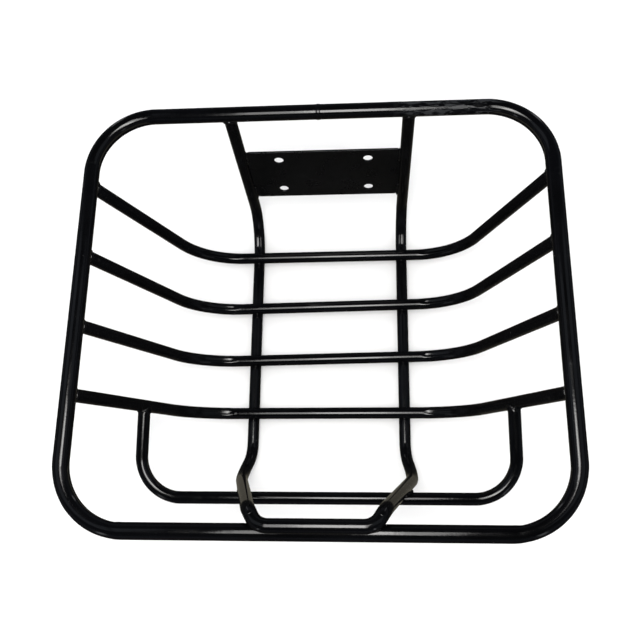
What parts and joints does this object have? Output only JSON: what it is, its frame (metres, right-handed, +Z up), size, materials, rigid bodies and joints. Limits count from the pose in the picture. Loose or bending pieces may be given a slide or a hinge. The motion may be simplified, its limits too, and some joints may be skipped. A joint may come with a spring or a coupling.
{
  "type": "welded tube carrier basket",
  "caption": "Small open carrier basket of bent round tube in gloss black, with a front loop, an outrigger guard bar and a bolt-on rear plate.",
  "frame": {"origin": "on the surface that the basket stands on, under the centre of its outline", "axes": "+X to the basket's right, +Y to the rear, towards the mounting plate, +Z up"},
  "size_m": [0.4028, 0.3639, 0.1973],
  "materials": {
    "gloss_coat": "gloss black powder coat with light orange peel",
    "plate_coat": "gloss black powder coat on flat sheet",
    "weld_coat": "gloss black powder coat over a rippled weld bead"
  },
  "bodies": {
    "root": {"rim_tube": "gloss_coat", "runner_tube": "gloss_coat", "guard_tube": "gloss_coat", "slat_1": "gloss_coat", "slat_2": "gloss_coat", "slat_3": "gloss_coat", "slat_4": "gloss_coat", "mounting_plate": "plate_coat", "weld_rim_seam": "weld_coat", "weld_slat_1_rim_left": "weld_coat", "weld_slat_1_runner_left": "weld_coat", "weld_slat_1_rim_right": "weld_coat", "weld_slat_1_runner_right": "weld_coat", "weld_slat_2_rim_left": "weld_coat", "weld_slat_2_runner_left": "weld_coat", "weld_slat_2_rim_right": "weld_coat", "weld_slat_2_runner_right": "weld_coat", "weld_slat_3_rim_left": "weld_coat", "weld_slat_3_runner_left": "weld_coat", "weld_slat_3_rim_right": "weld_coat", "weld_slat_3_runner_right": "weld_coat", "weld_slat_4_rim_left": "weld_coat", "weld_slat_4_runner_left": "weld_coat", "weld_slat_4_rim_right": "weld_coat", "weld_slat_4_runner_right": "weld_coat", "weld_runner_rim_left": "weld_coat", "weld_guard_slat_left": "weld_coat", "weld_guard_runner_left": "weld_coat", "weld_runner_rim_right": "weld_coat", "weld_guard_slat_right": "weld_coat", "weld_guard_runner_right": "weld_coat", "weld_loop_rim_outer": "weld_coat", "weld_loop_rim_inner": "weld_coat", "weld_plate_upper_left": "weld_coat", "weld_plate_upper_right": "weld_coat", "weld_plate_lower_left": "weld_coat", "weld_plate_lower_right": "weld_coat"}
  },
  "joints": []
}
